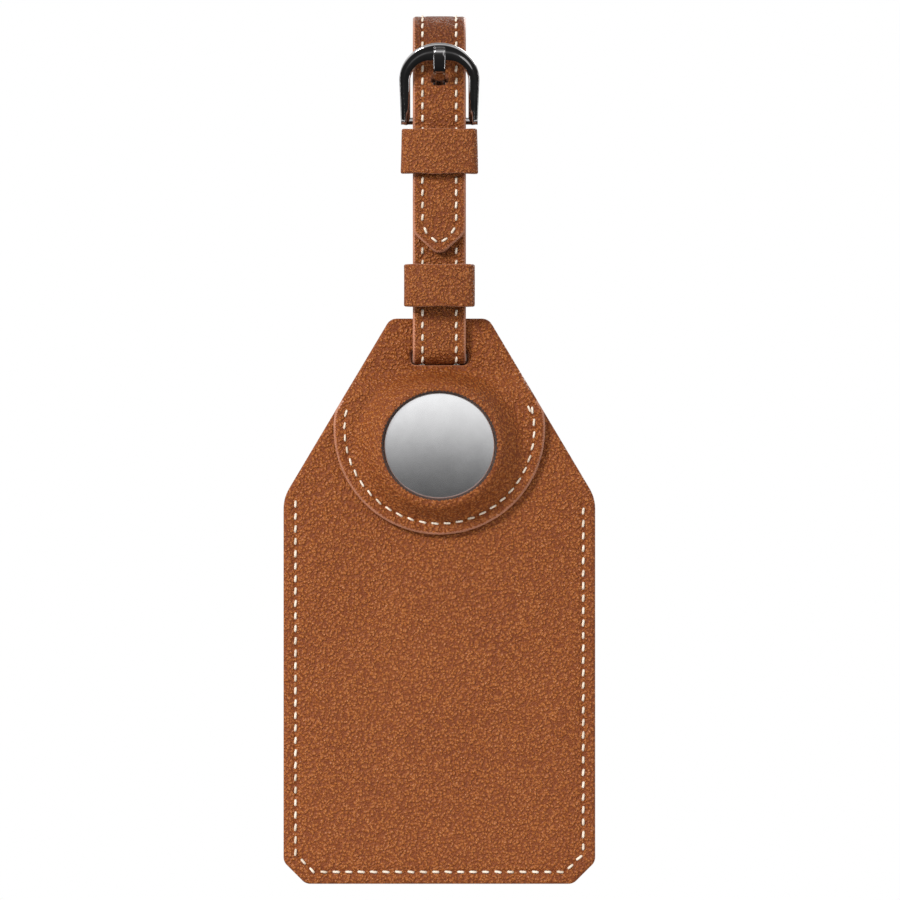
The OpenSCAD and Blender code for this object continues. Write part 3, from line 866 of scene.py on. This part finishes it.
def strap():
    """The whole strap in one sheet, and its stitching."""
    end = STEPS[-1]
    bar_s = strap_s(BAR_Z, "leg")
    prong_s = strap_s(PRONG_HOLE_Z, "tail")
    half = STRAP_HALF
    tip_s, side_s, tip_r, side_r, end_r = -0.85, 4.6, 2.4, 3.5, 0.5
    outline = rounded([(0, tip_s), (half, side_s), (half, end), (-half, end), (-half, side_s)],
                      [tip_r, side_r, end_r, end_r, side_r], gap=0.75)
    holes = [strap_hole(1.75, prong_s - 1.2, prong_s + 1.2, 1.0, 5, 0.5),
             strap_hole(2, bar_s - 4.6, bar_s + 5.0, 0.8, 4, 0.6)]
    x = STITCH_ROW
    seam_bend, seam_tip, unsewn = 6.3, 2.1, 14
    left = [np.array([-x, s]) for s in np.linspace(seam_bend, end - unsewn, 300)]
    right = [np.array([x, s]) for s in np.linspace(seam_bend, end - unsewn, 300)]
    tip = [np.array(p) for p in ((-x, seam_bend), (-2.5, 3.9), (0, seam_tip), (2.5, 3.9), (x, seam_bend))]
    lines = [left, right, tip]
    rows = [along(left, PITCH, start=0.6), along(right, PITCH, start=0.6), along(tip, PITCH)]
    every = [st for row in rows for st in row]

    def thickness(s):
        """Full thickness, pared down to one thin ply where the strap folds round the bar."""
        pared_t, end_gain = 0.75, 0.3
        thin = smooth(bar_s - 3.6, bar_s - 1.6, s)
        return STRAP_T + (pared_t - STRAP_T) * thin + end_gain * smooth(bar_s + 4, bar_s + 6, s)

    def dips(x, s):
        out = np.zeros(len(x))
        for line in lines:
            out = np.maximum(out, seam_dip(x, s, line, every))
        return out * smooth(end - unsewn + 1, end - unsewn - 1, s)

    def front(x, s, edge):
        crown = -0.10 * (1 - (x / half) ** 2)
        return 0.10 + rolled(edge, 0.42, 0.7) + dips(x, s) + crown

    def back(x, s, edge):
        return thickness(s) - rolled(edge, 0.3, 0.6)

    def place(x, s, depth):
        """Along the strap, with the prong's hole slanting down towards the back."""
        slant = 1.05
        near = 1 - smooth(1.8, 6.2, np.hypot(x * 0.6, s - prong_s))
        return on_strap(x, s - slant * depth * near, depth)

    detail = [row for line in lines for row in seam_detail(line)]
    obj = leather_sheet("strap_leather", outline, holes, front, back, place,
                        [STRAP_TAN, EDGE, STRAP_TAN, RIM], step=0.95, detail=detail,
                        rim=lambda x, s: np.full(len(x), 0.5), hole_rims=[(0.3, CUT_EDGE), (0.0, CUT_EDGE)])
    outwards(obj)
    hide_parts("loop_face", "loop_backing", "strap_face", "strap_backing", "yoke_face", "yoke_backing")
    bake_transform(obj)
    strap_stitches(every)


def strap_stitches(every):
    """The strap's stitches on both faces, a row for each part of it, without the covered ones."""
    groups = {"tail_stitches": [], "leg_stitches": [], "yoke_stitches": [], "inside_stitches": []}
    split = (SPLIT_TOP + SPLIT_LOW) / 2
    clear_of_bend = 4.0
    loop_and_back = 86
    back_end = strap_s(LOOP_Z, "tail") + loop_and_back
    leg_seam_top = TAIL_TIP + 1.6

    def point(x, s, depth):
        return on_strap(np.array([x]), np.array([s]), np.array([depth]))[0]

    for p, t in every:
        for side, depth, sign in (("outer", 0.12, 1), ("inner", STRAP_T - 0.1, -1)):
            here = point(p[0], p[1], depth)
            ahead = point(p[0] + t[0] * 0.2, p[1] + t[1] * 0.2, depth)
            out = point(p[0], p[1], depth - 1) - here
            entry = (here, ahead - here, out * sign)
            if here[2] < split:
                groups["yoke_stitches"].append(entry)
            elif side == "inner":
                if here[2] > split + clear_of_bend:
                    groups["inside_stitches"].append(entry)
            elif p[1] <= back_end:
                groups["tail_stitches"].append(entry)
            elif here[2] < leg_seam_top:
                groups["leg_stitches"].append(entry)
    stands_for = {"tail_stitches": "tail_stitching", "leg_stitches": "strap_stitching",
                  "yoke_stitches": "yoke_stitching"}
    for k, (name, places) in enumerate(groups.items()):
        body = "tag" if name == "yoke_stitches" else "strap"
        row = thread_row(name, places, THREAD, body, length=1.7, radius=0.27, lift=0.15, seed=10 + k)
        if name in stands_for:
            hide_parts(stands_for[name])


KEEPER_WALL = 1.2


def keeper_section(h):
    """Rounded rectangle, as thick as the keeper's wall and of half height h."""
    r, steps = 0.42, 5
    section = []
    for quarter, (sx, sz) in enumerate(((1, 1), (-1, 1), (-1, -1), (1, -1))):
        for k in range(steps + 1):
            a = math.radians(90 * quarter + 90 * k / steps)
            section.append(np.array([sx * (KEEPER_WALL / 2 - r) + r * math.cos(a),
                                     sz * (h - r) + r * math.sin(a)]))
    return resampled(section, 0.8)


def keeper(name, node, body, flare, seed):
    """Leather band round the strap: a rounded section swept round a rounded rectangle, fuller in front."""
    front_r, back_r, fullness = 1.25, 1.0, 0.75
    lo, hi = lowest(node), highest(node)
    cx, cy, cz = (lo + hi) / 2
    w, d, h = (hi - lo) / 2
    x, y = w - KEEPER_WALL / 2, d - KEEPER_WALL / 2
    path = rounded([(-x, -y), (x, -y), (x, y), (-x, y)], [front_r, front_r, back_r, back_r], arc=10, gap=0.7)
    section = keeper_section(h)
    rings = []
    tangent = np.roll(path, -1, axis=0) - np.roll(path, 1, axis=0)
    tangent /= np.linalg.norm(tangent, axis=1)[:, None]
    normal = np.stack([tangent[:, 1], -tangent[:, 0]], axis=1)
    for (px, py), (nx, ny) in zip(path, normal):
        ring = []
        for a, b in section:
            share = b / h
            bulge = 0.10 * math.cos(px * 0.25 + seed) * (1 - share**2)
            grow = 1 - flare * (1 + share) / 2
            wave = 0.08 * math.sin(px * 0.6 + seed * 2.0) * abs(share)
            crown = fullness * max(-ny, 0) * (1 - (px / w) ** 2)
            ring.append((cx + px * grow + nx * (a - bulge * 0.4), cy + py + ny * a - crown,
                         cz + b + wave * share))
        rings.append(ring)
    obj = swept(name, rings, [STRAP_TAN, RIM], closed=True)
    outwards(obj)
    rims = [1 if abs(face.normal.z) > 0.75 else 0 for face in obj.data.polygons]
    obj.data.polygons.foreach_set("material_index", rims)
    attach(obj, body)
    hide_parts(node)


# ---- buckle ----

TILT = math.radians(24.5)
FRAME_HALF_T = 0.9
OUTER_R, FOOT_HALF, ARC_S = 9.05, 8.65, 10.1
INNER_HALF, INNER_TOP, INNER_CORNER = 6.55, 14.6, 4.6
FOOT_S = -0.95


def in_frame(x, s, n):
    """Point in the buckle's own plane: x across, s up from the bar, n forward."""
    sine, cosine = math.sin(TILT), math.cos(TILT)
    return (x, BAR_Y - s * sine - n * cosine, BAR_Z + s * cosine - n * sine)


def frame_lines():
    """Matching points on the frame's outer and inner lines, from one foot over the arc to the other."""
    arm = []
    arm_steps = 22
    for k in range(arm_steps):
        share = k / arm_steps
        outer = (FOOT_HALF + (OUTER_R - FOOT_HALF) * share, FOOT_S + (ARC_S - FOOT_S) * share)
        inner = (INNER_HALF, FOOT_S + (INNER_TOP - INNER_CORNER - FOOT_S) * share)
        arm.append((outer, inner))
    arc = []
    flat = INNER_HALF - INNER_CORNER
    for a in np.linspace(0, math.pi, 73):
        outer = (OUTER_R * math.cos(a), ARC_S + OUTER_R * math.sin(a))
        shift = flat * min(max(3 * math.cos(a), -1), 1)
        inner = (shift + INNER_CORNER * math.cos(a), INNER_TOP - INNER_CORNER + INNER_CORNER * math.sin(a))
        arc.append((outer, inner))
    mirrored = [((-o[0], o[1]), (-p[0], p[1])) for o, p in reversed(arm)]
    return arm + arc + mirrored


# Half of the frame's section, from outside to inside: shares of its half width and half thickness
FRAME_SECTION = ((1, 0), (0.98, 0.34), (0.88, 0.58), (0.66, 0.67), (0.30, 0.69), (0.12, 0.96), (-0.1, 1),
                 (-0.5, 0.98), (-0.8, 0.78), (-0.97, 0.4), (-1, 0))


def end_cap(i, count, reach, radius):
    """Share of the full section at ring i, which draws in over the last rings at both ends."""
    from_end = min(i, count - 1 - i)
    return math.sqrt(1 - ((reach - from_end) / radius) ** 2) if from_end < reach else 1.0


def buckle_frame():
    """Horseshoe with bevelled sides and a low step along the middle of its front, and rounded feet."""
    lines = frame_lines()
    section = list(FRAME_SECTION) + [(u, -n) for u, n in reversed(FRAME_SECTION[1:-1])]
    rings = []
    for i, (o, p) in enumerate(lines):
        middle, half = (np.array(o) + p) / 2, (np.array(o) - p) / 2
        cap = end_cap(i, len(lines), 2.2, 2.4)
        rings.append([in_frame(*(middle + half * u * cap), n * FRAME_HALF_T * cap) for u, n in section])
    obj = swept("horseshoe_frame", rings, [NICKEL])
    outwards(obj)
    smoothed(obj)
    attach(obj, "buckle")
    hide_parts("buckle_frame")


def smoothed(obj):
    """One round of subdivision, applied to the mesh, with no sharp edges."""
    obj.modifiers.new("smooth", "SUBSURF").levels = 1
    graph = bpy.context.evaluated_depsgraph_get()
    mesh = bpy.data.meshes.new_from_object(obj.evaluated_get(graph))
    obj.modifiers.clear()
    obj.data = mesh
    mesh.polygons.foreach_set("use_smooth", [True] * len(mesh.polygons))


def curve_through(knots, steps=9):
    """Smooth curve through its knots."""
    knots = np.array(knots, float)
    fine = []
    for i in range(len(knots) - 1):
        p0, p1, p2, p3 = knots[max(i - 1, 0)], knots[i], knots[i + 1], knots[min(i + 2, len(knots) - 1)]
        for t in np.linspace(0, 1, steps)[:-1]:
            fine.append(0.5 * (2 * p1 + (p2 - p0) * t + (2 * p0 - 5 * p1 + 4 * p2 - p3) * t**2
                               + (3 * p1 - p0 - 3 * p2 + p3) * t**3))
    return np.array(fine + [knots[-1]])


def rounded_ring(sides, square):
    """Points of a rounded square of half width 1, squarer as its exponent, square, falls."""
    angles = [2 * math.pi * j / sides for j in range(sides)]
    return [tuple(math.copysign(abs(v) ** square, v) for v in (math.cos(a), math.sin(a))) for a in angles]


def buckle_prong():
    """Blade from the bar through the tail's hole to the front of the frame, and its eye round the bar."""
    blade_half, blade_half_t, eye_half, eye_r, eye_half_t = 1.42, 0.63, 1.4, 1.2, 0.33
    fine = curve_through([(-6.9, -20.9), (-6.9, -15.8), (-8.5, -13.4), (-13.3, -10.9), (-15.0, -8.5),
                          (-15.6, -6)])
    tangent = np.gradient(fine, axis=0)
    tangent /= np.linalg.norm(tangent, axis=1)[:, None]
    rings = []
    for i, (p, t) in enumerate(zip(fine, tangent)):
        cap = end_cap(i, len(fine), 3, 3.1)
        across, thick = blade_half * (0.75 + 0.25 * cap), blade_half_t * cap
        rings.append([(u * across, p[0] - n * thick * t[1], p[1] + n * thick * t[0])
                      for u, n in rounded_ring(20, 0.75)])
    blade = swept("prong_blade", rings, [NICKEL])
    outwards(blade)
    smoothed(blade)
    eye = []
    for a in np.linspace(0, 2 * math.pi, 49)[:-1]:
        ring = [(u, eye_r + eye_half_t * n) for u, n in rounded_ring(12, 0.6)]
        eye.append([(eye_half * u, BAR_Y + r * math.cos(a), BAR_Z + r * math.sin(a)) for u, r in ring])
    loop = swept("prong_eye", eye, [NICKEL], closed=True)
    outwards(loop)
    for obj in (blade, loop):
        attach(obj, "prong")
    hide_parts("buckle_prong")


# ---- build ----

front_panel()
back_panel()
flap()
flap_lining()
tracker()
strap()
keeper("upper_keeper_band", "upper_keeper", "strap", flare=0.03, seed=1.0)
keeper("lower_keeper_band", "lower_keeper", "keeper", flare=0.0, seed=2.3)
buckle_frame()
buckle_prong()

CAD_LOOKS = {
    "back_lining": SUEDE,
    "front_lining": SUEDE,
    "stiffener": GREY,
    "tracker_case": WHITE,
    "tracker_board": BOARD,
    "tracker_battery": STEEL,
    "address_card": CARD,
    "buckle_bar": NICKEL,
}
for node, material in CAD_LOOKS.items():
    obj = frame["nodes"][node]
    if not obj.material_slots:
        obj.data.materials.append(material)
    for material_slot in obj.material_slots:
        material_slot.material = material


# ---- studio ----


def floor():
    """Pale floor a little below the tag."""
    half, level = 0.3, (TAG_LOW - 26) * MM
    mesh = bpy.data.meshes.new("floor")
    corners = [(-half, -half, level), (half, -half, level), (half, half, level), (-half, half, level)]
    mesh.from_pydata(corners, [], [(0, 1, 2, 3)])
    n = Nodes("pale_floor")
    grain = n.add("ShaderNodeTexNoise", {"Vector": n.position(), "Scale": 40.0, "Detail": 3.0})
    colour = n.ramp(grain.outputs["Fac"], (0.3, (0.84, 0.84, 0.84)), (0.7, (0.88, 0.88, 0.88)))
    n.set(Base_Color=colour, Roughness=0.7)
    mesh.materials.append(n.material)
    obj = bpy.data.objects.new("floor", mesh)
    bpy.context.scene.collection.objects.link(obj)
    obj.visible_glossy = False


def light(name, place, size, power, target=(0, 0, -0.1)):
    """Rectangular lamp at place, turned to face target."""
    data = bpy.data.lights.new(name, "AREA")
    data.shape = "RECTANGLE"
    data.size, data.size_y = size
    data.energy = power
    obj = bpy.data.objects.new(name, data)
    obj.location = place
    obj.rotation_euler = (Vector(target) - Vector(place)).to_track_quat("-Z", "Y").to_euler()
    bpy.context.scene.collection.objects.link(obj)


def world():
    """White to the camera. To everything else, brightest high above the horizon and dark below it."""
    made = bpy.data.worlds.new("studio")
    bpy.context.scene.world = made
    made.use_nodes = True
    tree = made.node_tree
    tree.nodes.clear()
    kinds = ("TexCoord", "SeparateXYZ", "ValToRGB", "MapRange", "Background", "Background", "LightPath",
             "MixShader", "OutputWorld")
    nodes = [tree.nodes.new("ShaderNode" + kind) for kind in kinds]
    coord, split, ramp, shift, around, white, path, mix, out = nodes
    shift.inputs["From Min"].default_value = -1
    tree.links.new(coord.outputs["Generated"], split.inputs[0])
    tree.links.new(split.outputs["Z"], shift.inputs["Value"])
    tree.links.new(shift.outputs["Result"], ramp.inputs["Fac"])
    stops = ((0.0, 0.02), (0.33, 0.05), (0.376, 0.10), (0.44, 0.19), (0.483, 0.36), (0.526, 0.62),
             (0.591, 0.95), (0.65, 1.25), (0.8, 1.5), (0.9, 0.7), (1.0, 0.5))
    while len(ramp.color_ramp.elements) < len(stops):
        ramp.color_ramp.elements.new(0.5)
    for element, (at, level) in zip(ramp.color_ramp.elements, stops):
        element.position = at
        element.color = (level, level, level, 1)
    tree.links.new(ramp.outputs["Color"], around.inputs["Color"])
    around.inputs["Strength"].default_value = 0.88
    white.inputs["Color"].default_value = (1, 1, 1, 1)
    tree.links.new(path.outputs["Is Camera Ray"], mix.inputs[0])
    tree.links.new(around.outputs[0], mix.inputs[1])
    tree.links.new(white.outputs[0], mix.inputs[2])
    tree.links.new(mix.outputs[0], out.inputs["Surface"])


def camera():
    """Square on to the front, from far enough that the view is almost flat."""
    view_height, away, sensor = 0.2032, 3.0, 36.0
    data = bpy.data.cameras.new("camera")
    data.sensor_width = sensor
    data.lens = sensor * away / view_height
    obj = bpy.data.objects.new("camera", data)
    obj.location = (0.0024, LEG_Y * MM - away, -0.0962)
    obj.rotation_euler = (math.pi / 2, 0, 0)
    bpy.context.scene.collection.objects.link(obj)
    bpy.context.scene.camera = obj


floor()
light("key", (-0.7, -0.8, 0.5), (0.26, 0.26), 14.0)
light("fill", (0.8, -1.0, -0.1), (0.7, 0.7), 1.0)
light("rear", (0.6, 1.0, 0.55), (0.6, 0.6), 7.0)
for name, side in (("left_strip", -0.6), ("right_strip", 0.6)):
    light(name, (side, 0.0, -0.31), (0.1, 0.4), 0.5, target=(0, 0, -0.015))
world()
camera()
bpy.context.scene.view_settings.view_transform = "Standard"
